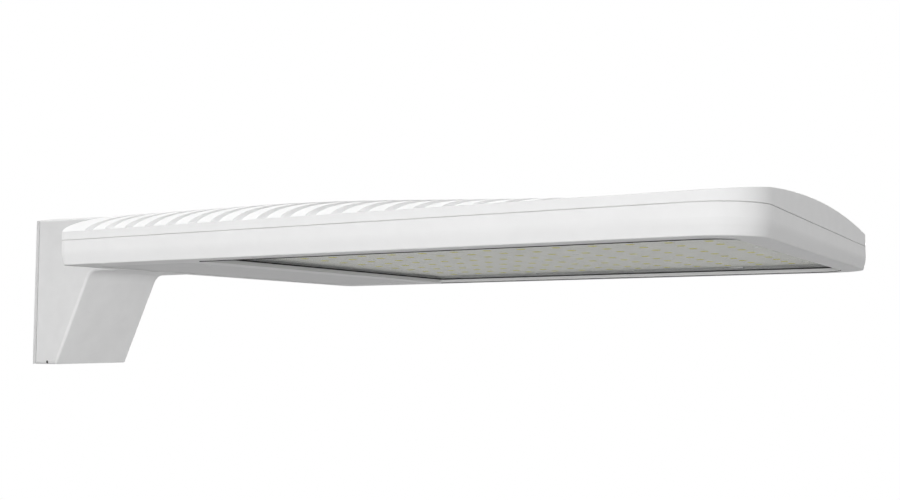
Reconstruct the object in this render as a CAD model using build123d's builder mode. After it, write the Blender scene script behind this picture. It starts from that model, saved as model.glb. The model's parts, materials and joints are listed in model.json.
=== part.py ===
from build123d import *
from math import cos, atan2, sqrt
import os

# Area light on a pole arm, in millimetres.
# The origin is the middle of the face that lies on the pole, +X runs along the arm to the nose and +Z is up.

# Arm
arm_reach = 246.0  # pole face to the rear wall of the head
arm_width = 110.0
arm_height = 170.0
arm_wall = 4.0
arm_front_wall = 10.0
arm_front_top = 81.0  # top of the arm where it meets the head
arm_underside = 21.6
arm_foot_depth = 38.7
strut_knee = 90.3  # where the slanted strut would meet the underside
strut_knee_radius = 16.0
arm_edge_radius = 3.3
arm_back_radius = 2.0

# Pole plate and what seals it
plate_thickness = 5.0
plate_clearance = 0.6
foot_flange_thickness = 5.0
pole_bolt_spacing = 101.6
pole_bolt_hole_radius = 5.6
wire_hole_radius = 12.7
pole_gasket_thickness = 4.5
pole_gasket_inset = 1.0
lock_screw_offset = 25.0  # from the pole face
lock_screw_radius = 1.6
lock_screw_length = 9.0
lock_screw_sink = 3.0
lock_hole_clearance = 0.2

# Joint between the arm and the head
arm_seal_thickness = 1.5
arm_seal_inset = 4.0
neck_width = 118.0
neck_top = 81.0
neck_flat = 46.0  # level stretch of the neck's top
neck_slope = 50.0  # stretch over which it falls to the roof
neck_wall = 4.0
neck_edge_radius = 5.0
arm_bolt_row = 72.0  # side to side
arm_bolt_column = 20.0  # up and down
arm_bolt_middle = 56.0  # height of the bolts' centre
arm_bolt_radius = 4.0
arm_bolt_length = 19.0
arm_bolt_head_width = 13.0
arm_bolt_head_height = 5.3
arm_bolt_clearance = 0.5
arm_wire_radius = 12.0

# Head
head_length = 647.5
head_width = 480.0
head_bottom = 12.5  # underside above the middle of the pole face
frame_height = 22.5  # underside to the seam
seam_gap = 0.6
seam_groove = 0.8  # depth of the line between the halves
seam_fit = 0.1
side_height = 30.8  # underside to the edge where the roof begins
roof_rise = 12.7
roof_thickness = 3.5
rim_width = 9.0
nose_corner_radius = 46.0
rear_corner_radius = 12.0
frame_wall = 4.0
frame_floor = 3.6
frame_foot = 10.0  # stretch above the underside that leans inwards
frame_foot_inset = 2.5
frame_foot_radius = 20.0
frame_edge_radius = 1.0
tongue_clearance = 0.5
wall_lap = 1.0  # how far inner walls run into the outer ones

# Cooling fins across the roof
fin_count = 20
fin_pitch = 25.0
fin_thickness = 15.0
fin_start = 42.0  # rear wall to the first fin
fin_crown = 64.5  # underside to the fins' highest point
fin_level_length = 165.0  # from the rear wall, at full height
fin_fade_length = 440.0  # over which the fins sink to the plain roof
fin_inset = 0.5
fin_root = 1.0  # seam to the foot of the fins
end_rib_length = 32.0  # broad rib at the rear wall

# Seal between the halves of the head
seal_height = 3.0
seal_gap = 0.8  # frame wall to the seal
seal_width = 3.7
seal_ledge_width = 6.5
seal_ledge_thickness = 3.0
tongue_depth = 2.6  # below the upper housing's outer edge

# Lens
lens_side_margin = 25.0  # side of the head to the clear opening
lens_nose_margin = 24.0
lens_rear_margin = 154.0
lens_nose_radius = 24.0
lens_rear_radius = 6.0
lens_overlap = 5.0
lens_thickness = 2.0
lens_edge_gap = 0.3
lens_gasket_thickness = 1.0
lens_gasket_lip = 1.5
rebate_wall = 1.2  # low wall round the edge of the lens
lens_lip_bite = 4.0  # over the lens
lens_lip_end_margin = 65.0  # side of the opening to the end of the lip
lens_lip_thickness = 2.0
lens_lip_clearance = 0.3

# Lens clips
clip_length = 13.0
clip_width = 14.0
clip_thickness = 1.2
clip_bite = 4.0  # over the lens
clip_pad_size = 8.0
clip_side_gap = 0.5
clip_screw_radius = 1.5
clip_screw_length = 4.6
clip_screw_head_radius = 3.0
clip_screw_head_height = 2.0
clip_side_places = (-115.0, 5.0, 125.0)  # along the lens, from its middle
clip_nose_spread = 200.0

# LED boards
led_columns = 7  # along the head, on one board
led_rows = 6  # across the head, on one board
led_rear_margin = 38.0  # edge of the opening to the first LED
led_nose_margin = 11.5
led_side_margin = 37.3
led_size = 5.0
led_height = 0.8
led_lens_gap = 0.4
board_gap = 1.0
board_overlap = 0.4  # beyond the edge of the opening
board_thickness = 1.6
board_screw_columns = 2.5  # from the board's middle, in LED pitches
board_screw_rows = 2
board_screw_radius = 1.25
board_screw_length = 4.8
board_screw_head_radius = 2.6
board_screw_head_height = 0.9
board_hole_clearance = 0.35

# Heat spreader and the ribs that carry it
spreader_thickness = 4.0
rib_side_margin = 65.0  # side of the opening to the outer ribs
rib_thickness = 5.0
rib_end_margin = 5.0  # end of the opening to the ribs
boss_radius = 5.0
spreader_screw_margin = 14.0  # end of the opening to the screws
spreader_screw_radius = 2.0
spreader_screw_length = 12.0
spreader_screw_head_radius = 3.5
spreader_screw_head_height = 1.4
spreader_head_clearance = 0.3

# Screws between the halves of the head
post_radius = 4.5
post_inset = 13.2  # from the side wall
post_places = (46.0, 226.0, 426.0)  # from the rear wall
post_corner_inset = 23.0
frame_screw_radius = 2.0
frame_screw_clearance = 0.3
frame_screw_head_radius = 3.4
frame_screw_head_height = 2.8
frame_screw_sink = 0.6
frame_screw_bite = 8.0  # into the upper housing

# Wall between the driver space and the lens space
divider_thickness = 6.0
divider_margin = 14.2  # lens opening to the divider

# Driver door
door_length = 112.0
door_side_margin = 35.0  # side of the head to the door
door_thickness = 2.5
door_rear_margin = 19.0  # rear wall of the head to the door
door_corner_radius = 10.0
door_gap = 1.0
door_recess = 0.3
door_swing_chamfer = 1.0  # on the hinge edge, so that it clears the frame
door_land = 8.5  # thickness of the frame round the door
door_ledge_width = 8.0
door_gasket_thickness = 1.0
door_gasket_inset = 2.0
door_gasket_width = 4.0
door_rib_height = 3.0
door_rib_width = 3.0
door_rib_end_margin = 65.0
door_rib_places = (30.0, 72.0)  # from the door's rear edge

# Hinge of the driver door
hinge_spread = 240.0
knuckle_length = 30.0
knuckle_radius = 3.0
hinge_axis_inset = 6.0  # behind the door's rear edge
hinge_axis_height = 3.1  # above the underside
pin_radius = 1.5
pin_length = 46.0
pin_seat_clearance = 0.02
pin_running_clearance = 0.05
knuckle_clearance = 0.6
knuckle_end_clearance = 1.0

# Closing screws of the driver door
door_screw_side_margin = 45.0  # from the door's sides
door_screw_margin = 17.0  # from the door's front edge
door_screw_radius = 2.0
door_screw_head_radius = 4.2
door_screw_head_height = 1.9
door_screw_length = 7.0
door_screw_clearance = 0.3
door_screw_room = 0.6
door_boss_radius = 6.5
door_boss_height = 4.5
door_tab_size = 18.0
door_tab_thickness = 4.5
door_tab_gap = 0.7

# Driver and the devices beside it
bracket_length = 84.0
bracket_width = 300.0
bracket_thickness = 2.0
bracket_top = 45.5
bracket_rear_margin = 36.0
bracket_screw_inset = 8.0
bracket_screw_radius = 2.0
bracket_screw_length = 5.2
bracket_screw_head_radius = 3.8
bracket_screw_head_height = 2.0
driver_length = 150.0
driver_width = 62.0
driver_height = 23.0
driver_offset = 55.0  # sideways from the middle
driver_edge_radius = 2.0
ear_length = 11.0
ear_width = 26.0
ear_thickness = 3.0
surge_length = 34.0
surge_width = 46.0
surge_height = 22.0
surge_offset = -61.0
surge_edge_radius = 3.0
terminal_length = 24.0
terminal_width = 40.0
terminal_height = 18.0
terminal_offset = -98.0
terminal_wells = 3
terminal_well_radius = 3.2
terminal_well_depth = 8.0
small_ear_length = 12.0
small_ear_width = 10.0
device_screw_radius = 2.0
device_screw_length = 5.5
device_screw_head_radius = 3.5
device_screw_head_height = 1.8
screw_clearance = 0.05

# Heights and places that follow from the sizes
half_width = head_width / 2
nose_x = arm_reach + head_length
head_middle = arm_reach + head_length / 2
seam_bottom = head_bottom + frame_height
seam_top = seam_bottom + seam_gap
side_top = head_bottom + side_height
tongue_bottom = seam_top - tongue_depth
tongue_inset = frame_wall + tongue_clearance
floor_top = head_bottom + frame_floor
land_top = head_bottom + door_land
ceiling_spring = side_top - roof_thickness
cavity_half = half_width - rim_width
fin_spring = seam_top + fin_root
fin_rise = head_bottom + fin_crown - fin_spring
plain_rise = side_top + roof_rise - fin_spring  # where the fins have sunk to the roof
seal_inset = frame_wall + seal_gap

arm_top = arm_height / 2
arm_bottom = -arm_height / 2
arm_front = arm_reach - arm_seal_thickness
arm_inner_half = arm_width / 2 - arm_wall
strut_angle = atan2(strut_knee - arm_foot_depth, arm_underside - arm_bottom)
foot_opening = arm_foot_depth - arm_wall / cos(strut_angle)
lock_height = arm_bottom + foot_flange_thickness / 2
neck_inner_half = neck_width / 2 - neck_wall

lens_rear = arm_reach + lens_rear_margin
lens_length = head_length - lens_rear_margin - lens_nose_margin
lens_width = head_width - 2 * lens_side_margin
lens_front = lens_rear + lens_length
lens_middle = lens_rear + lens_length / 2
lens_lip_width = lens_width - 2 * lens_lip_end_margin
lens_bottom = floor_top + lens_gasket_thickness
lens_top = lens_bottom + lens_thickness
board_bottom = lens_top + led_lens_gap + led_height
board_top = board_bottom + board_thickness
spreader_top = board_top + spreader_thickness
led_pitch_x = (lens_length - led_rear_margin - led_nose_margin) / (2 * led_columns - 1)
led_pitch_y = (lens_width - 2 * led_side_margin) / (2 * led_rows - 1)
field_middle = lens_rear + led_rear_margin + (led_columns - 0.5) * led_pitch_x
spreader_seat = board_top + spreader_screw_head_height
divider_front = lens_rear - divider_margin

door_rear = arm_reach + door_rear_margin
door_middle = door_rear + door_length / 2
door_width = head_width - 2 * door_side_margin
door_rib_length = door_width - 2 * door_rib_end_margin
door_screw_y = door_width / 2 - door_screw_side_margin
door_bottom = head_bottom + door_recess
door_top = door_bottom + door_thickness
ledge_bottom = door_top + door_gasket_thickness
hinge_x = door_rear - hinge_axis_inset
hinge_z = head_bottom + hinge_axis_height
door_screw_x = door_rear + door_length - door_screw_margin
boss_top = door_bottom + door_boss_height
tab_bottom = boss_top + door_tab_gap

bracket_bottom = bracket_top - bracket_thickness
bracket_middle = arm_reach + bracket_rear_margin + bracket_length / 2
base = (Align.CENTER, Align.CENTER, Align.MIN)


def arc_height(half, y):
    """Height at y of a roof arc that spans this half width, above its ends."""
    radius = (half**2 + roof_rise**2) / (2 * roof_rise)
    return roof_rise - radius + sqrt(radius**2 - y**2)


def ceiling(y):
    """Height of the housing's inner roof at y."""
    return ceiling_spring + arc_height(cavity_half, y)


def root(y):
    """Height inside the roof where ribs and posts end at y."""
    return ceiling(y) + roof_thickness / 2


def fin_rise_at(distance):
    """Rise of a fin that stands this far from the rear wall."""
    fade = min(max((distance - fin_level_length) / fin_fade_length, 0), 1)
    smooth = fade * fade * (3 - 2 * fade)
    return fin_rise + (plain_rise - fin_rise) * smooth


def head_plan(inset):
    """Plan of the head, drawn in by inset."""
    with BuildSketch() as plan:
        with Locations((head_middle, 0)):
            Rectangle(head_length - 2 * inset, head_width - 2 * inset)
        fillet(plan.vertices().group_by(Axis.X)[-1], nose_corner_radius - inset)
        fillet(plan.vertices().group_by(Axis.X)[0], rear_corner_radius - inset)
    return plan.sketch


def lens_plan(margin):
    """Plan of the lens opening, widened by margin."""
    with BuildSketch() as plan:
        with Locations((lens_middle, 0)):
            Rectangle(lens_length + 2 * margin, lens_width + 2 * margin)
        fillet(plan.vertices().group_by(Axis.X)[-1], lens_nose_radius + margin)
        fillet(plan.vertices().group_by(Axis.X)[0], lens_rear_radius + margin)
    return plan.sketch


def door_plan(margin):
    """Plan of the driver door, widened by margin."""
    with BuildSketch() as plan:
        with Locations((door_middle, 0)):
            RectangleRounded(door_length + 2 * margin, door_width + 2 * margin, door_corner_radius + margin)
    return plan.sketch


def roof_section(x, half, floor, spring):
    """Section across the head at x, flat below and arched above, that runs on into the walls beside it."""
    end = half + wall_lap
    end_height = spring + arc_height(half, end)
    with BuildSketch(Plane.YZ.offset(x)) as section:
        with BuildLine():
            arch = ThreePointArc((end, end_height), (0, spring + roof_rise), (-end, end_height))
            Polyline(arch @ 1, (-end, floor), (end, floor), arch @ 0)
        make_face()
    return section.sketch


def fin_section(x, rise):
    """Half ellipse across the head at x, from side to side."""
    with BuildSketch(Plane.YZ.offset(x)) as section:
        with BuildLine():
            arch = EllipticalCenterArc((0, fin_spring), half_width - fin_inset, rise, arc_size=180)
            Line(arch @ 1, arch @ 0)
        make_face()
    return section.sketch


def arm_profile(inset):
    """Side outline of the arm with its strut, drawn in by inset."""
    with BuildSketch(Plane.XZ) as profile:
        with BuildLine():
            Polyline(
                (pole_gasket_thickness, arm_bottom),
                (arm_foot_depth, arm_bottom),
                (strut_knee, arm_underside),
                (arm_front, arm_underside),
                (arm_front, arm_front_top),
                (pole_gasket_thickness, arm_top),
                close=True,
            )
        make_face()
        knee = profile.vertices().sort_by_distance((strut_knee, arm_underside))[0]
        fillet(knee, strut_knee_radius)
        back = profile.vertices().sort_by_distance((pole_gasket_thickness, arm_top))[0]
        fillet(back, arm_back_radius)
        if inset:
            offset(amount=-inset, kind=Kind.INTERSECTION, mode=Mode.REPLACE)
    return profile.sketch


def block(low, high, mode=Mode.ADD):
    """Adds a straight block between two corners to the open part."""
    size = [b - a for a, b in zip(low, high)]
    with Locations(low):
        Box(*size, align=(Align.MIN, Align.MIN, Align.MIN), mode=mode)


def upright(places, radius, bottom, top, mode=Mode.ADD):
    """Adds a round post or hole at each place, between two heights, to the open part."""
    with Locations([(x, y, bottom) for x, y in places]):
        Cylinder(radius, top - bottom, align=base, mode=mode)


def screws_up(places, seat, head_radius, head_height, radius, length):
    """Adds screws with heads under the seat and shanks that point up."""
    upright(places, head_radius, seat - head_height, seat)
    upright(places, radius, seat, seat + length)


arm_bolt_places = [(y, arm_bolt_middle + z) for y in (-arm_bolt_row / 2, arm_bolt_row / 2)
                   for z in (-arm_bolt_column / 2, arm_bolt_column / 2)]
side_posts = [(arm_reach + x, side * (half_width - post_inset)) for x in post_places for side in (-1, 1)]
nose_posts = [(nose_x - post_corner_inset, side * (half_width - post_corner_inset)) for side in (-1, 1)]
posts = side_posts + nose_posts
clip_reach = clip_length - clip_bite
clip_side_y = lens_width / 2 + lens_overlap + clip_reach / 2
clip_nose_x = lens_front + lens_overlap + clip_reach / 2
side_clips = [(lens_middle + x, side * clip_side_y) for x in clip_side_places for side in (-1, 1)]
nose_clips = [(clip_nose_x, side * clip_nose_spread / 2) for side in (-1, 1)]
rib_spacing = (lens_width / 2 - rib_side_margin) / 2
ribs = [rib_spacing * step for step in (-2, -1, 0, 1, 2)]
spreader_ends = (lens_rear + spreader_screw_margin, lens_front - spreader_screw_margin)
spreader_places = [(x, y) for x in spreader_ends for y in ribs[::2]]
board_middle_x = led_columns * led_pitch_x / 2  # from the middle of the LED field
board_middle_y = led_rows * led_pitch_y / 2
board_screw_x = board_screw_columns * led_pitch_x
board_screw_y = board_screw_rows * led_pitch_y
board_ends = [(a, b) for a in (-1, 1) for b in (-1, 1)]
board_screw_places = [(field_middle + a * board_middle_x + c * board_screw_x, b * board_middle_y + d * board_screw_y)
                      for a, b in board_ends for c, d in board_ends]
hinge_places = [-hinge_spread / 2, hinge_spread / 2]
door_screw_places = [(door_screw_x, -door_screw_y), (door_screw_x, door_screw_y)]
bracket_screw_x = bracket_length / 2 - bracket_screw_inset
bracket_screw_y = bracket_width / 2 - bracket_screw_inset
bracket_places = [(bracket_middle + a * bracket_screw_x, b * bracket_screw_y) for a in (-1, 1) for b in (-1, 1)]
driver_ear_y = driver_length / 2 + ear_length / 2
surge_ear_x = bracket_middle + surge_width / 2 + small_ear_length / 2
terminal_ear_x = bracket_middle + terminal_width / 2 + small_ear_length / 2
device_places = [
    (bracket_middle, driver_offset - driver_ear_y),
    (bracket_middle, driver_offset + driver_ear_y),
    (surge_ear_x, surge_offset),
    (terminal_ear_x, terminal_offset),
]

# Gasket strip between the arm and the pole, open at the foot
with BuildPart() as pole_gasket:
    gasket_half = arm_width / 2 - pole_gasket_inset
    gasket_top = arm_top - pole_gasket_inset
    block((0, -gasket_half, arm_bottom), (pole_gasket_thickness, gasket_half, gasket_top))
    block(
        (0, -arm_inner_half, arm_bottom),
        (pole_gasket_thickness, arm_inner_half, arm_top - arm_wall),
        Mode.SUBTRACT,
    )

# Steel plate that bolts to the pole, with the flange that closes the arm's foot
with BuildPart() as pole_plate:
    plate_half = arm_inner_half - plate_clearance
    block(
        (0, -plate_half, arm_bottom),
        (plate_thickness, plate_half, arm_top - arm_wall - plate_clearance),
    )
    block(
        (0, -plate_half, arm_bottom),
        (foot_opening - plate_clearance, plate_half, arm_bottom + foot_flange_thickness),
    )
    with BuildSketch(Plane.YZ) as plate_holes:
        Circle(wire_hole_radius)
        with GridLocations(0, pole_bolt_spacing, 1, 2):
            Circle(pole_bolt_hole_radius)
    extrude(amount=plate_thickness, mode=Mode.SUBTRACT)
    with BuildSketch(Plane.XZ) as lock_holes:
        with Locations((lock_screw_offset, lock_height)):
            Circle(lock_screw_radius + screw_clearance)
    extrude(amount=plate_half, both=True, mode=Mode.SUBTRACT)

# Hollow arm, open at the pole and at the foot, with a thick front wall for the bolts
with BuildPart() as arm:
    extrude(arm_profile(0), amount=arm_width / 2, both=True)
    side_faces = arm.faces().filter_by(Axis.Y)
    fillet(side_faces.edges(), arm_edge_radius)
    extrude(arm_profile(arm_wall), amount=arm_inner_half, both=True, mode=Mode.SUBTRACT)
    block(
        (pole_gasket_thickness, -arm_inner_half, arm_bottom),
        (pole_gasket_thickness + arm_wall, arm_inner_half, arm_top - arm_wall),
        Mode.SUBTRACT,
    )
    block(
        (pole_gasket_thickness, -arm_inner_half, arm_bottom),
        (foot_opening, arm_inner_half, arm_bottom + arm_wall),
        Mode.SUBTRACT,
    )
    block(
        (arm_front - arm_front_wall, -arm_inner_half - arm_wall / 2, arm_underside + arm_wall / 2),
        (arm_front, arm_inner_half + arm_wall / 2, arm_front_top - arm_wall / 2),
    )
    with BuildSketch(Plane.YZ.offset(arm_front)) as front_holes:
        with Locations((0, arm_bolt_middle)):
            Circle(arm_wire_radius)
        with Locations(arm_bolt_places):
            Circle(arm_bolt_radius + screw_clearance)
    extrude(amount=-arm_front_wall, mode=Mode.SUBTRACT)
    with BuildSketch(Plane.XZ) as side_holes:
        with Locations((lock_screw_offset, lock_height)):
            Circle(lock_screw_radius + lock_hole_clearance)
    extrude(amount=arm_width / 2, both=True, mode=Mode.SUBTRACT)

# Grub screws that lock the arm on the plate's flange
with BuildPart() as lock_screws:
    for side in (-1, 1):
        with BuildSketch(Plane.XZ.offset(side * (arm_width / 2 - lock_screw_sink))):
            with Locations((lock_screw_offset, lock_height)):
                Circle(lock_screw_radius)
        extrude(amount=-side * lock_screw_length)

# Seal between the arm and the head
with BuildPart() as arm_seal:
    seal_low = seam_top + arm_seal_inset
    seal_high = arm_front_top - arm_seal_inset
    seal_half = arm_width / 2 - arm_seal_inset
    block((arm_front, -seal_half, seal_low), (arm_reach, seal_half, seal_high))
    with BuildSketch(Plane.YZ.offset(arm_reach)) as seal_holes:
        with Locations((0, arm_bolt_middle)):
            Circle(arm_wire_radius)
        with Locations(arm_bolt_places):
            Circle(arm_bolt_radius + arm_bolt_clearance)
    extrude(amount=-arm_seal_thickness, mode=Mode.SUBTRACT)

# Bolts from inside the head into the arm's front wall
with BuildPart() as arm_bolts:
    with BuildSketch(Plane.YZ.offset(arm_reach + rim_width)) as bolt_shanks:
        with Locations(arm_bolt_places):
            Circle(arm_bolt_radius)
    extrude(amount=-arm_bolt_length)
    with BuildSketch(Plane.YZ.offset(arm_reach + rim_width)) as bolt_heads:
        with Locations(arm_bolt_places):
            RegularPolygon(arm_bolt_head_width / 2, 6, major_radius=False)
    extrude(amount=arm_bolt_head_height)

# Space inside the upper housing
with BuildPart() as head_cavity:
    with BuildSketch(Plane.XY.offset(tongue_bottom)):
        add(head_plan(rim_width))
    extrude(amount=ceiling_spring + roof_rise - tongue_bottom)
    cavity_section = roof_section(arm_reach, cavity_half, tongue_bottom, ceiling_spring)
    extrude(cavity_section, amount=head_length, mode=Mode.INTERSECT)

# Neck on the roof that takes the arm
with BuildPart() as neck:
    with BuildSketch(Plane.XZ):
        with BuildLine():
            Polyline(
                (arm_reach, ceiling_spring),
                (arm_reach, neck_top),
                (arm_reach + neck_flat, neck_top),
                (arm_reach + neck_flat + neck_slope, side_top),
                (arm_reach + neck_flat + neck_slope, ceiling_spring),
                close=True,
            )
        make_face()
    extrude(amount=neck_width / 2, both=True)
    neck_sides = neck.faces().filter_by(Axis.Y)
    fillet(neck_sides.edges().filter_by(Axis.Z, reverse=True).group_by(Axis.Z)[-1], neck_edge_radius)

# Broad rib behind the fins, rounded with the corners of the head
with BuildPart() as end_rib:
    with BuildSketch(Plane.XY.offset(seam_top)):
        add(head_plan(0))
    extrude(amount=fin_crown)
    extrude(fin_section(arm_reach, fin_rise), amount=end_rib_length, mode=Mode.INTERSECT)

# Finned upper housing
with BuildPart() as upper_housing:
    with BuildSketch(Plane.XY.offset(seam_top)):
        add(head_plan(0))
    extrude(amount=side_height + roof_rise)
    outer_section = roof_section(arm_reach, half_width, head_bottom, side_top)
    extrude(outer_section, amount=head_length, mode=Mode.INTERSECT)
    add(end_rib.part)
    for step in range(fin_count):
        distance = fin_start + step * fin_pitch
        fin = fin_section(arm_reach + distance, fin_rise_at(distance + fin_thickness / 2))
        extrude(fin, amount=fin_thickness)
    add(neck.part)
    with BuildSketch(Plane.XY.offset(seam_bottom + seam_fit)):
        add(head_plan(seam_groove))
    extrude(amount=seam_gap - seam_fit)
    with BuildSketch(Plane.XY.offset(tongue_bottom)):
        add(head_plan(tongue_inset))
    extrude(amount=tongue_depth)
    add(head_cavity.part, mode=Mode.SUBTRACT)
    with BuildSketch(Plane.XZ) as neck_pocket:
        with BuildLine():
            Polyline(
                (arm_reach + rim_width, ceiling_spring),
                (arm_reach + rim_width, neck_top - neck_wall),
                (arm_reach + neck_flat - neck_wall, neck_top - neck_wall),
                (arm_reach + neck_flat + neck_slope - 2 * neck_wall, ceiling_spring),
                close=True,
            )
        make_face()
    extrude(amount=neck_inner_half, both=True, mode=Mode.SUBTRACT)
    divider = roof_section(
        divider_front - divider_thickness,
        cavity_half,
        tongue_bottom,
        ceiling_spring + wall_lap,
    )
    extrude(divider, amount=divider_thickness)
    for y in ribs:
        block(
            (lens_rear + rib_end_margin, y - rib_thickness / 2, spreader_top),
            (lens_front - rib_end_margin, y + rib_thickness / 2, root(y)),
        )
    for x, y in spreader_places:
        upright([(x, y)], boss_radius, spreader_top, root(y))
    for x, y in posts:
        upright([(x, y)], post_radius, tongue_bottom, root(y))
    for x, y in bracket_places:
        upright([(x, y)], boss_radius, bracket_top, root(y))
    spreader_hole = spreader_screw_radius + screw_clearance
    spreader_hole_top = spreader_seat + spreader_screw_length
    upright(spreader_places, spreader_hole, spreader_top, spreader_hole_top, Mode.SUBTRACT)
    frame_hole = frame_screw_radius + screw_clearance
    upright(posts, frame_hole, tongue_bottom, tongue_bottom + frame_screw_bite, Mode.SUBTRACT)
    bracket_hole = bracket_screw_radius + screw_clearance
    bracket_hole_top = bracket_bottom + bracket_screw_length
    upright(bracket_places, bracket_hole, bracket_top, bracket_hole_top, Mode.SUBTRACT)
    with BuildSketch(Plane.YZ.offset(arm_reach)) as neck_holes:
        with Locations((0, arm_bolt_middle)):
            Circle(arm_wire_radius)
        with Locations(arm_bolt_places):
            Circle(arm_bolt_radius + arm_bolt_clearance)
    extrude(amount=rim_width, mode=Mode.SUBTRACT)

# Lower frame with the lens opening and the driver door's opening
with BuildPart() as lower_frame:
    with BuildSketch(Plane.XY.offset(head_bottom)):
        add(head_plan(0))
    extrude(amount=frame_height)
    underside = lower_frame.faces().sort_by(Axis.Z)[0]
    chamfer(underside.edges(), frame_foot_inset, frame_foot, reference=underside)
    bend_height = head_bottom + frame_foot
    bend = lower_frame.edges().filter_by_position(Axis.Z, bend_height - seam_fit, bend_height + seam_fit)
    fillet(bend, frame_foot_radius)
    fillet(lower_frame.faces().sort_by(Axis.Z)[0].edges(), frame_edge_radius)
    with BuildSketch(Plane.XY.offset(floor_top)):
        add(head_plan(frame_wall))
    extrude(amount=seam_bottom - floor_top, mode=Mode.SUBTRACT)
    ledge_top = tongue_bottom - seal_height
    with BuildSketch(Plane.XY.offset(ledge_top - seal_ledge_thickness)):
        add(head_plan(frame_wall - wall_lap))
        add(head_plan(frame_wall + seal_ledge_width), mode=Mode.SUBTRACT)
    extrude(amount=seal_ledge_thickness)
    wall_root = frame_wall - wall_lap
    inner_half = half_width - wall_root
    floor_root = floor_top - wall_lap
    block(
        (arm_reach + wall_root, -inner_half + rear_corner_radius, floor_root),
        (divider_front, inner_half - rear_corner_radius, land_top),
    )
    block(
        (divider_front - divider_thickness, -inner_half, floor_root),
        (divider_front, inner_half, tongue_bottom),
    )
    with BuildSketch(Plane.XY.offset(ledge_top)):
        add(head_plan(frame_wall))
        add(head_plan(frame_wall + seal_ledge_width), mode=Mode.SUBTRACT)
    extrude(amount=seal_height, mode=Mode.SUBTRACT)
    with BuildSketch(Plane.XY.offset(head_bottom)):
        add(door_plan(door_gap - door_ledge_width))
    extrude(amount=door_land, mode=Mode.SUBTRACT)
    with BuildSketch(Plane.XY.offset(head_bottom)):
        add(door_plan(door_gap))
    extrude(amount=ledge_bottom - head_bottom, mode=Mode.SUBTRACT)
    with BuildSketch(Plane.XY.offset(head_bottom)):
        add(lens_plan(0))
    extrude(amount=frame_floor, mode=Mode.SUBTRACT)
    rebate_inner = lens_overlap + lens_edge_gap
    with BuildSketch(Plane.XY.offset(floor_root)):
        add(lens_plan(rebate_inner + rebate_wall))
        add(lens_plan(rebate_inner), mode=Mode.SUBTRACT)
    extrude(amount=board_bottom - floor_root)
    notch_width = clip_width + 2 * clip_side_gap
    with Locations([(x, y, lens_top) for x, y in side_clips]):
        Box(notch_width, clip_length, board_bottom - lens_top, align=base, mode=Mode.SUBTRACT)
    with Locations([(x, y, lens_top) for x, y in nose_clips]):
        Box(clip_length, notch_width, board_bottom - lens_top, align=base, mode=Mode.SUBTRACT)
    lip_bottom = lens_top + lens_lip_clearance
    block(
        (divider_front - wall_lap, -lens_lip_width / 2, lip_bottom),
        (lens_rear - lens_overlap + lens_lip_bite, lens_lip_width / 2, lip_bottom + lens_lip_thickness),
    )
    with Locations([(x, y, floor_root) for x, y in side_clips + nose_clips]):
        Box(clip_pad_size, clip_pad_size, lens_top - floor_root, align=base)
    upright(posts, post_radius, floor_root, tongue_bottom)
    tab_half = door_tab_size / 2
    for x, y in door_screw_places:
        block(
            (x - tab_half, y - tab_half, tab_bottom),
            (door_rear + door_length + door_gap, y + tab_half, tab_bottom + door_tab_thickness),
        )
    for y in hinge_places:
        pocket_half = knuckle_length / 2 + knuckle_end_clearance
        pocket_reach = knuckle_radius + knuckle_clearance
        block(
            (hinge_x - pocket_reach, y - pocket_half, head_bottom),
            (door_rear, y + pocket_half, hinge_z + pocket_reach),
            Mode.SUBTRACT,
        )
        with BuildSketch(Plane.XZ.offset(-y)):
            with Locations((hinge_x, hinge_z)):
                Circle(pin_radius + pin_seat_clearance)
        extrude(amount=pin_length / 2, both=True, mode=Mode.SUBTRACT)
    clip_hole = clip_screw_radius + screw_clearance
    clip_hole_bottom = lens_top + clip_thickness - clip_screw_length
    upright(side_clips + nose_clips, clip_hole, clip_hole_bottom, lens_top, Mode.SUBTRACT)
    frame_head_seat = head_bottom + frame_screw_sink + frame_screw_head_height
    upright(posts, frame_screw_radius + frame_screw_clearance, head_bottom, tongue_bottom, Mode.SUBTRACT)
    upright(posts, frame_screw_head_radius + frame_screw_clearance, head_bottom, frame_head_seat, Mode.SUBTRACT)
    tab_hole = door_screw_radius + door_screw_room
    upright(door_screw_places, tab_hole, tab_bottom, tab_bottom + door_tab_thickness, Mode.SUBTRACT)

# Seal between the halves
with BuildPart() as housing_seal:
    with BuildSketch(Plane.XY.offset(tongue_bottom - seal_height)):
        add(head_plan(seal_inset))
        add(head_plan(seal_inset + seal_width), mode=Mode.SUBTRACT)
    extrude(amount=seal_height)

# Screws from below that hold the halves together
with BuildPart() as frame_screws:
    frame_screw_length = tongue_bottom + frame_screw_bite - frame_head_seat
    screws_up(
        posts,
        frame_head_seat,
        frame_screw_head_radius,
        frame_screw_head_height,
        frame_screw_radius,
        frame_screw_length,
    )

# Lens and its gasket
with BuildPart() as lens_gasket:
    with BuildSketch(Plane.XY.offset(floor_top)):
        add(lens_plan(lens_overlap))
        add(lens_plan(-lens_gasket_lip), mode=Mode.SUBTRACT)
    extrude(amount=lens_gasket_thickness)

with BuildPart() as lens:
    with BuildSketch(Plane.XY.offset(lens_bottom)):
        add(lens_plan(lens_overlap))
    extrude(amount=lens_thickness)

# Clips that hold the lens down, and their screws
with BuildPart() as lens_clips:
    clip_shift = clip_length / 2 - clip_reach / 2
    with Locations([(x, y - clip_shift * (1 if y > 0 else -1), lens_top) for x, y in side_clips]):
        Box(clip_width, clip_length, clip_thickness, align=base)
    with Locations([(x - clip_shift, y, lens_top) for x, y in nose_clips]):
        Box(clip_length, clip_width, clip_thickness, align=base)
    upright(side_clips + nose_clips, clip_hole, lens_top, lens_top + clip_thickness, Mode.SUBTRACT)

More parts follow.
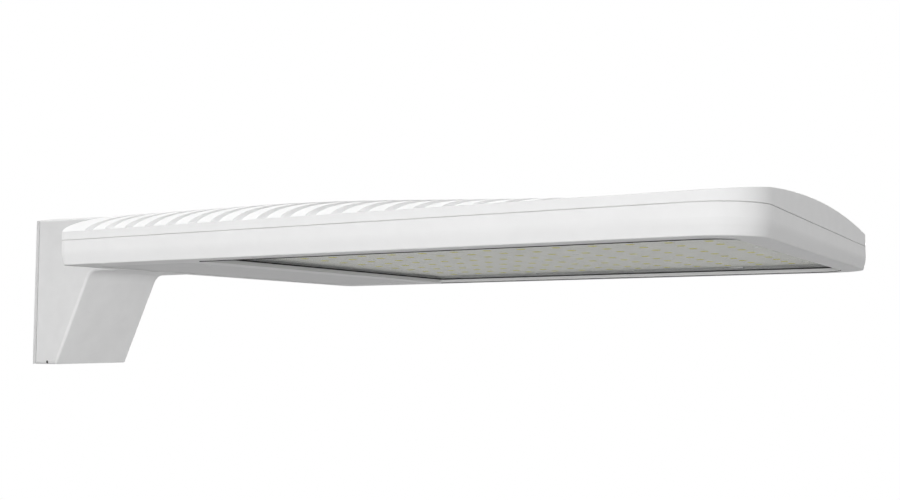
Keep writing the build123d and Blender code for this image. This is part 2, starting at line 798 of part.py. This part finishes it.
with BuildPart() as clip_screws:
    clip_top = lens_top + clip_thickness
    upright(side_clips + nose_clips, clip_screw_head_radius, clip_top, clip_top + clip_screw_head_height)
    upright(side_clips + nose_clips, clip_screw_radius, clip_top - clip_screw_length, clip_top)

# Plate that carries the LED boards
with BuildPart() as heat_spreader:
    with BuildSketch(Plane.XY.offset(board_top)):
        add(lens_plan(board_overlap))
    extrude(amount=spreader_thickness)
    upright(spreader_places, spreader_hole, board_top, spreader_top, Mode.SUBTRACT)
    spreader_sink = spreader_screw_head_radius + spreader_head_clearance
    upright(spreader_places, spreader_sink, board_top, spreader_seat, Mode.SUBTRACT)
    upright(board_screw_places, board_screw_radius + screw_clearance, board_top, spreader_top, Mode.SUBTRACT)

with BuildPart() as spreader_screws:
    screws_up(
        spreader_places,
        spreader_seat,
        spreader_screw_head_radius,
        spreader_screw_head_height,
        spreader_screw_radius,
        spreader_screw_length,
    )

with BuildPart() as board_screws:
    screws_up(
        board_screw_places,
        board_bottom,
        board_screw_head_radius,
        board_screw_head_height,
        board_screw_radius,
        board_screw_length,
    )

# Slim driver with an ear at each end
with BuildPart() as driver:
    with Locations((bracket_middle, driver_offset, bracket_bottom - driver_height)):
        Box(driver_width, driver_length, driver_height, align=base)
    fillet(driver.edges(), driver_edge_radius)
    for side in (-1, 1):
        with Locations((bracket_middle, driver_offset + side * driver_ear_y, bracket_bottom - ear_thickness)):
            Box(ear_width, ear_length + 2 * driver_edge_radius, ear_thickness, align=base)
    ear_bottom = bracket_bottom - ear_thickness
    upright(device_places[:2], device_screw_radius + screw_clearance, ear_bottom, bracket_bottom, Mode.SUBTRACT)

# Surge protector with one ear
with BuildPart() as surge_protector:
    with Locations((bracket_middle, surge_offset, bracket_bottom - surge_height)):
        Box(surge_width, surge_length, surge_height, align=base)
    fillet(surge_protector.edges().filter_by(Axis.Z), surge_edge_radius)
    with Locations((surge_ear_x - surge_edge_radius, surge_offset, bracket_bottom - ear_thickness)):
        Box(small_ear_length + 2 * surge_edge_radius, small_ear_width, ear_thickness, align=base)
    upright(device_places[2:3], device_screw_radius + screw_clearance, ear_bottom, bracket_bottom, Mode.SUBTRACT)

# Terminal block with its wire wells and one ear
with BuildPart() as terminal_block:
    with Locations((bracket_middle, terminal_offset, bracket_bottom - terminal_height)):
        Box(terminal_width, terminal_length, terminal_height, align=base)
    well_pitch = terminal_width / terminal_wells
    with Locations((bracket_middle, terminal_offset, bracket_bottom - terminal_height)):
        with GridLocations(well_pitch, 0, terminal_wells, 1):
            Cylinder(terminal_well_radius, terminal_well_depth, align=base, mode=Mode.SUBTRACT)
    with Locations((terminal_ear_x, terminal_offset, bracket_bottom - ear_thickness)):
        Box(small_ear_length, small_ear_width, ear_thickness, align=base)
    upright(device_places[3:], device_screw_radius + screw_clearance, ear_bottom, bracket_bottom, Mode.SUBTRACT)

# Bracket that carries the driver and the devices
with BuildPart() as driver_bracket:
    with Locations((bracket_middle, 0, bracket_bottom)):
        Box(bracket_length, bracket_width, bracket_thickness, align=base)
    upright(bracket_places, bracket_hole, bracket_bottom, bracket_top, Mode.SUBTRACT)
    upright(device_places, device_screw_radius + screw_clearance, bracket_bottom, bracket_top, Mode.SUBTRACT)

with BuildPart() as bracket_screws:
    screws_up(
        bracket_places,
        bracket_bottom,
        bracket_screw_head_radius,
        bracket_screw_head_height,
        bracket_screw_radius,
        bracket_screw_length,
    )

with BuildPart() as device_screws:
    screws_up(
        device_places,
        ear_bottom,
        device_screw_head_radius,
        device_screw_head_height,
        device_screw_radius,
        device_screw_length,
    )

# Driver door with its hinge knuckles and screw bosses
with BuildPart() as driver_door:
    with BuildSketch(Plane.XY.offset(door_bottom)):
        add(door_plan(0))
    extrude(amount=door_thickness)
    hinge_face = driver_door.faces().sort_by(Axis.X)[0]
    chamfer(hinge_face.edges().sort_by(Axis.Z)[-1], door_swing_chamfer)
    with Locations([(door_rear + x, 0, door_top) for x in door_rib_places]):
        Box(door_rib_width, door_rib_length, door_rib_height, align=base)
    upright(door_screw_places, door_boss_radius, door_bottom, boss_top)
    for y in hinge_places:
        block(
            (hinge_x, y - knuckle_length / 2, door_bottom),
            (door_rear + door_gap, y + knuckle_length / 2, door_top),
        )
        with BuildSketch(Plane.XZ.offset(-y)):
            with Locations((hinge_x, hinge_z)):
                Circle(knuckle_radius)
        extrude(amount=knuckle_length / 2, both=True)
        with BuildSketch(Plane.XZ.offset(-y)):
            with Locations((hinge_x, hinge_z)):
                Circle(pin_radius + pin_running_clearance)
        extrude(amount=knuckle_length / 2, both=True, mode=Mode.SUBTRACT)
    screw_seat = door_bottom + door_screw_head_height
    upright(door_screw_places, door_screw_head_radius + door_screw_clearance, door_bottom, screw_seat, Mode.SUBTRACT)
    upright(door_screw_places, door_screw_radius + door_screw_clearance, door_bottom, boss_top, Mode.SUBTRACT)

with BuildPart() as door_gasket:
    with BuildSketch(Plane.XY.offset(door_top)):
        add(door_plan(-door_gasket_inset))
        add(door_plan(-door_gasket_inset - door_gasket_width), mode=Mode.SUBTRACT)
    extrude(amount=door_gasket_thickness)

with BuildPart() as hinge_pins:
    for y in hinge_places:
        with BuildSketch(Plane.XZ.offset(-y)):
            with Locations((hinge_x, hinge_z)):
                Circle(pin_radius)
        extrude(amount=pin_length / 2, both=True)

with BuildPart() as door_screws:
    screws_up(
        door_screw_places,
        screw_seat,
        door_screw_head_radius,
        door_screw_head_height,
        door_screw_radius,
        door_screw_length,
    )

pieces = {
    "pole_gasket": pole_gasket,
    "pole_plate": pole_plate,
    "arm": arm,
    "lock_screws": lock_screws,
    "arm_seal": arm_seal,
    "arm_bolts": arm_bolts,
    "upper_housing": upper_housing,
    "lower_frame": lower_frame,
    "housing_seal": housing_seal,
    "frame_screws": frame_screws,
    "lens_gasket": lens_gasket,
    "lens": lens,
    "lens_clips": lens_clips,
    "clip_screws": clip_screws,
    "heat_spreader": heat_spreader,
    "spreader_screws": spreader_screws,
    "board_screws": board_screws,
    "driver": driver,
    "surge_protector": surge_protector,
    "terminal_block": terminal_block,
    "driver_bracket": driver_bracket,
    "bracket_screws": bracket_screws,
    "device_screws": device_screws,
    "driver_door": driver_door,
    "door_gasket": door_gasket,
    "hinge_pins": hinge_pins,
    "door_screws": door_screws,
}

# LED boards and the LED packages under them
for number, (a, b) in enumerate(board_ends, start=1):
    x = field_middle + a * board_middle_x
    y = b * board_middle_y
    with BuildPart() as led_board:
        with BuildSketch(Plane.XY.offset(board_bottom)):
            add(lens_plan(board_overlap))
            with Locations((field_middle + a * (lens_length + board_gap) / 2, b * (lens_width + board_gap) / 2)):
                Rectangle(lens_length, lens_width, mode=Mode.INTERSECT)
        extrude(amount=board_thickness)
        corners = [(x + c * board_screw_x, y + d * board_screw_y) for c, d in board_ends]
        upright(corners, board_screw_radius + board_hole_clearance, board_bottom, board_top, Mode.SUBTRACT)
    pieces[f"led_board_{number}"] = led_board
    with BuildPart() as led_chips:
        with Locations((x, y, board_bottom - led_height)):
            with GridLocations(led_pitch_x, led_pitch_y, led_columns, led_rows):
                Box(led_size, led_size, led_height, align=base)
    pieces[f"led_chips_{number}"] = led_chips

os.makedirs("parts", exist_ok=True)
for name, piece in pieces.items():
    piece.part.label = name
    export_step(piece.part, f"parts/{name}.step")
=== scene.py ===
import json
import math

import bmesh
import bpy
from mathutils import Matrix, Vector


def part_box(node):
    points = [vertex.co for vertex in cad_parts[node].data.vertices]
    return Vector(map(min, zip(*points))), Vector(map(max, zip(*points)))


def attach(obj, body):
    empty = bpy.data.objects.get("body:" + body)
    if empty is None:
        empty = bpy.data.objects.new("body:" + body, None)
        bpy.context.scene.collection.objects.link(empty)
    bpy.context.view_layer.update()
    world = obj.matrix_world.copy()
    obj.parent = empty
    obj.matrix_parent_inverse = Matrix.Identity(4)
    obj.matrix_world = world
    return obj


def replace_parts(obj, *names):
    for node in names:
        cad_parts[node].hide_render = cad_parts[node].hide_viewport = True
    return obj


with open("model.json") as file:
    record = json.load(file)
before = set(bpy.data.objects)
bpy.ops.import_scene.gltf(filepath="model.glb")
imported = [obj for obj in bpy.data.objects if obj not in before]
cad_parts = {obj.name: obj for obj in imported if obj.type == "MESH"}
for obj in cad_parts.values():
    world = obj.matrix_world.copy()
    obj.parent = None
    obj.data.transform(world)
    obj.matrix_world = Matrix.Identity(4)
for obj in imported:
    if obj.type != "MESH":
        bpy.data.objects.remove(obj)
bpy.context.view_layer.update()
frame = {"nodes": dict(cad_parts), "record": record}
nodes = frame["nodes"]
scene = bpy.context.scene
scene.view_settings.view_transform = "Standard"

# LED packages, in metres or as shares of the plain LED
board_count = 4
led_edge = 0.00015
led_spread = 1.45  # of its width
led_body_share = 0.3  # of its height
corner_power = 8  # the higher, the sharper the corners

# Screws, as shares of the shank's and the head's radius and of the head's height
head_reach = 0.9  # corners farther out than this belong to the head
tip_depth = 0.1  # share of the whole height in which the shank is measured
tip_share = 0.8
tip_height = 0.2
head_edge_height = 0.6
head_top_share = 0.86
socket_share = 0.5
socket_lobes = 6
socket_lobe_depth = 0.14
socket_taper = 0.92
socket_floor = 0.35

# Plugs over the lock screws, in metres or as shares of the plug; their black is partly painted shade
plug_spread = 1.08  # of the screw's radius
plug_sink = 0.0003
plug_gap = 0.0001
plug_edge_depth = 0.9
plug_edge_share = 0.8

# Bead below the lens opening, partly painted shade, in metres
lens_overlap = 0.005
nose_corner = 0.024
bead_width = 0.0012
bead_height = 0.0006
bead_steps = 12
bead_least = 0.05  # share of its height that is left at the nose
bead_section = [(0, 0), (0, 0.6), (0.25, 1), (0.75, 1), (1, 0.6), (1, 0)]  # out and down, as shares

# Surfaces, in metres or as shares
coat_edge = 0.0007
peel_depth = 0.0002
blotch_share = 0.08  # of the grain's scale
gloss_share = 0.5  # of the grain's scale
noise_detail = 3.0
noise_range = (0.3, 0.7)
lens_alpha = 0.16
lens_haze = 60
lens_level = 0.5  # how level a face of the lens is when it counts as polished

# Meshes
ring_segments = 24
screw_segments = 48
weld_digits = 6  # corners that agree to this digit of a metre are one
crease_angle = math.radians(35)

# Studio, in metres and watts
floor_depth = 5.0
floor_forward = 0.5
floor_size = 120
floor_glow = 0.265
surround_glow = 0.12
box_size = 2.0
small_box_size = 1.2
boxes = [
    ("near_box", (0.4, -3.0, -0.5), 28, box_size),
    ("view_side_box", (2.0, -2.7, 0.3), 33, box_size),
    ("near_high_box", (0.4, -2.6, 1.8), 10, box_size),
    ("far_box", (0.4, 3.2, 0.7), 50, small_box_size),
    ("front_box", (3.6, -0.3, -0.5), 4, box_size),
    ("front_high_box", (2.6, 0.0, 2.6), 22, box_size),
    ("pole_box", (-2.6, -0.5, 1.0), 25, box_size),
    ("overhead_box", (0.45, 0.0, 3.0), 52, box_size),
]
strut_lamp_place = (1.6, -0.3, -0.45)
strut_lamp_power = 28
strut_lamp_cone = math.radians(7.5)
strut_lamp_blend = 0.4
strut_lamp_radius = 0.03
strut_forward = 0.07  # from the arm's back to the middle of the strut
strut_up = 0.05  # from the arm's foot to the middle of the strut

# Camera, with its lens in millimetres and its reach in metres
camera_place = (1.06835, -0.95974, -0.05571)
camera_turn = (math.radians(94.577), 0, math.radians(29.191))
camera_lens = 44.378
camera_reach = 100


def material(name, color, roughness, metallic=0.0, specular=0.5):
    """A material with one colour, gloss, metal and specular level."""
    made = bpy.data.materials.new(name)
    made.use_nodes = True
    shader = made.node_tree.nodes["Principled BSDF"]
    shader.inputs["Base Color"].default_value = (*color, 1)
    shader.inputs["Roughness"].default_value = roughness
    shader.inputs["Metallic"].default_value = metallic
    shader.inputs["Specular IOR Level"].default_value = specular
    return made, shader


def noise(made, scale, stretch=(1, 1, 1)):
    """Noise in the object's own metres; stretch squeezes it along an axis."""
    tree = made.node_tree
    place = tree.nodes.new("ShaderNodeTexCoord")
    mapping = tree.nodes.new("ShaderNodeMapping")
    mapping.inputs["Scale"].default_value = stretch
    texture = tree.nodes.new("ShaderNodeTexNoise")
    texture.inputs["Scale"].default_value = scale
    texture.inputs["Detail"].default_value = noise_detail
    tree.links.new(place.outputs["Object"], mapping.inputs["Vector"])
    tree.links.new(mapping.outputs["Vector"], texture.inputs["Vector"])
    return texture.outputs["Fac"]


def between(made, factor, *ends):
    """Maps a noise's middle range to two values or two colours."""
    tree = made.node_tree
    ramp = tree.nodes.new("ShaderNodeValToRGB")
    for element, position, end in zip(ramp.color_ramp.elements, noise_range, ends):
        color = end if isinstance(end, tuple) else (end, end, end)
        element.position = position
        element.color = (*color, 1)
    tree.links.new(factor, ramp.inputs["Fac"])
    return ramp.outputs["Color"]


def bump(made, shader, height, strength, edge):
    """Raises the surface by a height texture and softens its edges."""
    tree = made.node_tree
    node = tree.nodes.new("ShaderNodeBump")
    node.inputs["Strength"].default_value = strength
    node.inputs["Distance"].default_value = peel_depth
    tree.links.new(height, node.inputs["Height"])
    tree.links.new(node.outputs["Normal"], shader.inputs["Normal"])
    if edge:
        rounding = tree.nodes.new("ShaderNodeBevel")
        rounding.inputs["Radius"].default_value = edge
        tree.links.new(rounding.outputs["Normal"], node.inputs["Normal"])


def speckled(name, colors, roughness, scale, peel=0.1, stretch=(1, 1, 1), edge=0.0, **levels):
    """A finish whose colour, gloss and surface all vary a little."""
    made, shader = material(name, colors[1], roughness[0], **levels)
    links = made.node_tree.links
    blotches = noise(made, scale * blotch_share)
    links.new(between(made, blotches, *colors), shader.inputs["Base Color"])
    gloss = noise(made, scale * gloss_share, stretch=stretch)
    links.new(between(made, gloss, *roughness), shader.inputs["Roughness"])
    bump(made, shader, noise(made, scale, stretch=stretch), peel, edge)
    return made


def grey(low, high):
    """Two grey colours from two levels."""
    return (low, low, low), (high, high, high)


def powder_coat(name, low, high):
    """Matt white powder coat with a fine orange peel."""
    return speckled(name, grey(low, high), (0.45, 0.55), 700, specular=0.07, edge=coat_edge)


# Finishes
coat = powder_coat("white_coat", 0.88, 0.90)
# Arm coat: the white coat made darker, as painted shade for the head's shadow on the arm
arm_coat_painted_shade = powder_coat("arm_coat_painted_shade", 0.75, 0.78)
# Door coat: the white coat made darker, as painted shade on the rear underside near the arm
door_coat_painted_shade = powder_coat("door_coat_painted_shade", 0.78, 0.80)
rubber = speckled("black_rubber", grey(0.012, 0.022), (0.6, 0.75), 900, specular=0.2)
foam = speckled("pale_foam", grey(0.66, 0.72), (0.7, 0.85), 1200, peel=0.3)
# White seal: its whiteness is partly painted light, brightening the shaded seam and door gap
white_seal_painted_light = speckled("white_seal_painted_light", grey(0.90, 0.93), (0.6, 0.75), 900, specular=0.1)
nylon = speckled("white_nylon", grey(0.78, 0.82), (0.4, 0.5), 900)
# Black steel: its black is partly painted shade for the dark holes of the lock screws
black_steel_and_painted_shade = speckled("black_steel_and_painted_shade", grey(0.02, 0.03), (0.5, 0.6), 800, specular=0.2)
steel = speckled("plated_steel", grey(0.42, 0.52), (0.35, 0.5), 800, metallic=1.0)
rolled = (0.04, 1, 1)
aluminium = speckled("mill_aluminium", grey(0.62, 0.72), (0.3, 0.45), 600, stretch=rolled, metallic=1.0)
board_whites = (0.74, 0.74, 0.68), (0.78, 0.78, 0.72)
board = speckled("board_mask", board_whites, (0.45, 0.55), 900, specular=0.25)
phosphor_yellows = (0.66, 0.62, 0.05), (0.74, 0.70, 0.09)
phosphor = speckled("led_phosphor", phosphor_yellows, (0.45, 0.6), 2500, specular=0.2)
ceramic = speckled("led_ceramic", grey(0.78, 0.84), (0.4, 0.5), 2500, specular=0.25)
case = speckled("driver_case", grey(0.55, 0.62), (0.4, 0.5), 600)
dark_plastic = speckled("dark_plastic", grey(0.03, 0.045), (0.5, 0.6), 900)
creams = (0.72, 0.69, 0.60), (0.78, 0.75, 0.66)
pale_plastic = speckled("pale_plastic", creams, (0.45, 0.55), 900)
glass, glass_shader = material("clear_lens", (0.9, 0.92, 0.91), 0.2, specular=0.2)
glass_shader.inputs["Alpha"].default_value = lens_alpha
haze = between(glass, noise(glass, lens_haze), 0.15, 0.25)
glass.node_tree.links.new(haze, glass_shader.inputs["Roughness"])
frosted = speckled("frosted_edge", grey(0.80, 0.84), (0.6, 0.7), 900, specular=0.2)

finishes = {
    "white_coat": coat,
    "black_rubber": rubber,
    "pale_rubber": foam,
    "white_nylon": nylon,
    "steel": steel,
    "bare_aluminium": aluminium,
    "board_white": board,
    "led_yellow": phosphor,
    "driver_case": case,
    "dark_plastic": dark_plastic,
    "pale_plastic": pale_plastic,
    "clear_glass": glass,
}
own_finishes = {
    "arm": arm_coat_painted_shade,
    "driver_door": door_coat_painted_shade,
    "housing_seal": white_seal_painted_light,
    "door_gasket": white_seal_painted_light,
    "lock_screws": black_steel_and_painted_shade,
}
for part in frame["record"]["subparts"]:
    mesh = nodes[part["node"]].data
    mesh.materials.clear()
    mesh.materials.append(own_finishes.get(part["node"], finishes[part["material_slot"]]))


def solids(node):
    """The corner points of each separate solid in a CAD node."""
    mesh = nodes[node].data
    places = [tuple(round(value, weld_digits) for value in corner.co) for corner in mesh.vertices]
    joined = {place: set() for place in places}
    for edge in mesh.edges:
        a, b = (places[index] for index in edge.vertices)
        joined[a].add(b)
        joined[b].add(a)
    groups = []
    while joined:
        group = []
        waiting = [next(iter(joined))]
        while waiting:
            place = waiting.pop()
            if place in joined:
                waiting.extend(joined.pop(place))
                group.append(Vector(place))
        groups.append(group)
    return groups


def extent(points):
    """The lowest and highest corner of the box round some points."""
    low = Vector(min(point[axis] for point in points) for axis in range(3))
    high = Vector(max(point[axis] for point in points) for axis in range(3))
    return low, high


def hanging(points):
    """Where a solid's top is, with +Z turned downwards, its height and its half width."""
    low, high = extent(points)
    middle = (low + high) / 2
    place = Matrix.Translation((middle.x, middle.y, high.z)) @ Matrix.Rotation(math.pi, 4, "X")
    return place, high.z - low.z, (high.x - low.x) / 2


def ring_faces(bm, ring, following):
    """The faces between two closed rings with as many corners."""
    count = len(ring)
    made = []
    for a, b in zip(range(count), [*range(1, count), 0]):
        made.append(bm.faces.new((ring[a], ring[b], following[b], following[a])))
    return made


def turn(bm, place, rings, slots, segments=ring_segments):
    """Skins a row of rings, each a radius by angle and a height, and closes both ends."""
    loops = []
    for radius, height in rings:
        loop = []
        for step in range(segments):
            angle = 2 * math.pi * step / segments
            reach = radius(angle)
            point = Vector((reach * math.cos(angle), reach * math.sin(angle), height))
            loop.append(bm.verts.new(place @ point))
        loops.append(loop)
    for low, high, slot in zip(loops, loops[1:], slots):
        for face in ring_faces(bm, low, high):
            face.material_index = slot
    bm.faces.new(loops[0]).material_index = slots[0]
    bm.faces.new(loops[-1]).material_index = slots[-1]


def piece(name, bm, materials, body):
    """Makes an object of a mesh, which rides on a body."""
    bmesh.ops.recalc_face_normals(bm, faces=bm.faces)
    mesh = bpy.data.meshes.new(name)
    bm.to_mesh(mesh)
    bm.free()
    mesh.polygons.foreach_set("use_smooth", [True] * len(mesh.polygons))
    mesh.set_sharp_from_angle(angle=crease_angle)
    for finish in materials:
        mesh.materials.append(finish)
    made = bpy.data.objects.new(name, mesh)
    scene.collection.objects.link(made)
    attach(made, body)
    return made


def circle(radius):
    """The same radius at every angle."""
    return lambda angle: radius


def square(half):
    """Radius by angle of a square with rounded corners."""

    def radius(angle):
        total = abs(math.cos(angle)) ** corner_power + abs(math.sin(angle)) ** corner_power
        return half / total ** (1 / corner_power)

    return radius


def star(radius):
    """Radius by angle of a six-lobed socket."""
    return lambda angle: radius * (1 + socket_lobe_depth * math.cos(socket_lobes * angle))


# LED packages: a white body with a rounded phosphor pad
for number in range(1, board_count + 1):
    bm = bmesh.new()
    for points in solids(f"led_chips_{number}"):
        place, height, half = hanging(points)
        half *= led_spread
        body_top = height * led_body_share
        rings = [
            (square(half), 0),
            (square(half), body_top - led_edge),
            (square(half - led_edge), body_top),
            (square(half - 2 * led_edge), body_top),
            (square(half - 3 * led_edge), height - 2 * led_edge),
            (square(half - 6 * led_edge), height),
        ]
        turn(bm, place, rings, (0, 0, 0, 1, 1))
    packages = piece(f"led_packages_{number}", bm, (ceramic, phosphor), "fixture")
    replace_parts(packages, f"led_chips_{number}")

# Screws whose heads show from below, with a six-lobed socket
for node, finish, slot, body in (
    ("frame_screws", steel, "steel", "fixture"),
    ("door_screws", steel, "steel", "door"),
    ("board_screws", nylon, "white_nylon", "fixture"),
):
    bm = bmesh.new()
    for points in solids(node):
        place, height, half = hanging(points)
        centre = place.translation
        # The head begins at the seat, and the shank's radius is measured at the tip
        corners = [((point - centre).xy.length, centre.z - point.z) for point in points]
        seat = min(depth for reach, depth in corners if reach > head_reach * half)
        shank = max(reach for reach, depth in corners if depth < tip_depth * height)
        head = height - seat
        socket = socket_share * half
        rings = [
            (circle(tip_share * shank), 0),
            (circle(shank), tip_height * shank),
            (circle(shank), seat),
            (circle(half), seat),
            (circle(half), seat + head_edge_height * head),
            (circle(head_top_share * half), height),
            (star(socket), height),
            (star(socket_taper * socket), seat + socket_floor * head),
        ]
        turn(bm, place, rings, (0,) * (len(rings) - 1), screw_segments)
    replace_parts(piece(f"{node}_turned", bm, (finish,), body), node)

# Black plugs that close the holes of the lock screws, just below the arm's sides; their black is partly
# painted shade for the holes' dark insides
arm_low, arm_high = (Vector(corner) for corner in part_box("arm"))
bm = bmesh.new()
for points in solids("lock_screws"):
    side = math.copysign(1, points[0].y)
    low, high = extent(points)
    middle = (low + high) / 2
    start = max(abs(low.y), abs(high.y)) + plug_gap
    depth = arm_high.y - plug_sink - start
    radius = plug_spread * (high.x - low.x) / 2
    outwards = Matrix.Rotation(-side * math.pi / 2, 4, "X")
    place = Matrix.Translation((middle.x, side * start, middle.z)) @ outwards
    rings = [
        (circle(radius), 0),
        (circle(radius), plug_edge_depth * depth),
        (circle(plug_edge_share * radius), depth),
    ]
    turn(bm, place, rings, (0,) * (len(rings) - 1))
piece("lock_plugs_and_painted_shade", bm, (rubber,), "fixture")

# Lens: the sheet's faces are polished and its cut edge is frosted
bm = bmesh.new()
bm.from_mesh(nodes["lens"].data)
for face in bm.faces:
    face.material_index = 0 if abs(face.normal.z) > lens_level else 1
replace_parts(piece("lens_sheet", bm, (glass, frosted), "fixture"), "lens")

# Black bead below the sides of the lens opening, fading out round the nose's corners; it is partly a
# rubber edge and partly painted shade in the gap round the lens
gasket_low, gasket_high = (Vector(corner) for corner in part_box("lens_gasket"))
head_low, head_high = (Vector(corner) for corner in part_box("lower_frame"))
opening_side = gasket_high.y - lens_overlap
opening_front = gasket_high.x - lens_overlap
opening_rear = gasket_low.x + lens_overlap
bead_path = [(opening_rear, opening_side, math.pi / 2, bead_height)]
for step in range(bead_steps + 1):
    angle = math.pi / 2 * (1 - step / bead_steps)
    x = opening_front - nose_corner + nose_corner * math.cos(angle)
    y = opening_side - nose_corner + nose_corner * math.sin(angle)
    bead_path.append((x, y, angle, bead_height * max(math.sin(angle), bead_least)))
bm = bmesh.new()
for side in (-1, 1):
    rings = []
    for x, y, angle, height in bead_path:
        ring = []
        for out, down in bead_section:
            across = y + out * bead_width * math.sin(angle)
            along = x + out * bead_width * math.cos(angle)
            ring.append(bm.verts.new((along, side * across, head_low.z - down * height)))
        rings.append(ring)
    for ring, following in zip(rings, rings[1:]):
        ring_faces(bm, ring, following)
    bm.faces.new(rings[0])
    bm.faces.new(rings[-1])
piece("lens_bead_and_painted_shade", bm, (rubber,), "fixture")

# Floor and surround: white to the camera, in gloss and through glass, and dimmer as light on the object
bpy.ops.mesh.primitive_plane_add(size=floor_size, location=(floor_forward, 0, -floor_depth))
floor = bpy.context.object
floor.name = "floor"
floor_paint = bpy.data.materials.new("floor_paint")
floor_paint.use_nodes = True
floor.data.materials.append(floor_paint)
world = bpy.data.worlds.new("studio")
world.use_nodes = True
scene.world = world
for tree, end, kind, glow in (
    (floor_paint.node_tree, "ShaderNodeOutputMaterial", "ShaderNodeEmission", floor_glow),
    (world.node_tree, "ShaderNodeOutputWorld", "ShaderNodeBackground", surround_glow),
):
    tree.nodes.clear()
    output = tree.nodes.new(end)
    ray = tree.nodes.new("ShaderNodeLightPath")
    shine = tree.nodes.new(kind)
    shine.inputs["Color"].default_value = (1, 1, 1, 1)
    strength = tree.nodes.new("ShaderNodeMapRange")
    strength.inputs["To Min"].default_value = glow
    seen = tree.nodes.new("ShaderNodeMath")
    also = tree.nodes.new("ShaderNodeMath")
    tree.links.new(ray.outputs["Is Camera Ray"], seen.inputs[0])
    tree.links.new(ray.outputs["Is Glossy Ray"], seen.inputs[1])
    tree.links.new(seen.outputs[0], also.inputs[0])
    tree.links.new(ray.outputs["Is Transmission Ray"], also.inputs[1])
    tree.links.new(also.outputs[0], strength.inputs["Value"])
    tree.links.new(strength.outputs["Result"], shine.inputs["Strength"])
    tree.links.new(shine.outputs[0], output.inputs["Surface"])


def lamp(name, kind, place, aim, power):
    """A lamp that faces a point and that no camera sees."""
    made = bpy.data.objects.new(name, bpy.data.lights.new(name, kind))
    made.location = place
    made.rotation_euler = (aim - made.location).to_track_quat("-Z", "Y").to_euler()
    made.visible_camera = False
    made.data.energy = power
    scene.collection.objects.link(made)
    return made.data


# Studio light: a soft box on each side, and a small lamp below the head for the strut
head_middle = (head_low + head_high) / 2
strut_middle = Vector((arm_low.x + strut_forward, 0, arm_low.z + strut_up))
for name, place, power, size in boxes:
    lamp(name, "AREA", place, head_middle, power).size = size
strut_lamp = lamp("strut_lamp", "SPOT", strut_lamp_place, strut_middle, strut_lamp_power)
strut_lamp.spot_size = strut_lamp_cone
strut_lamp.spot_blend = strut_lamp_blend
strut_lamp.shadow_soft_size = strut_lamp_radius

# Camera at the photograph's angle
camera = bpy.data.objects.new("camera", bpy.data.cameras.new("camera"))
scene.collection.objects.link(camera)
camera.location = camera_place
camera.rotation_euler = camera_turn
camera.data.lens = camera_lens
camera.data.clip_end = camera_reach
scene.camera = camera
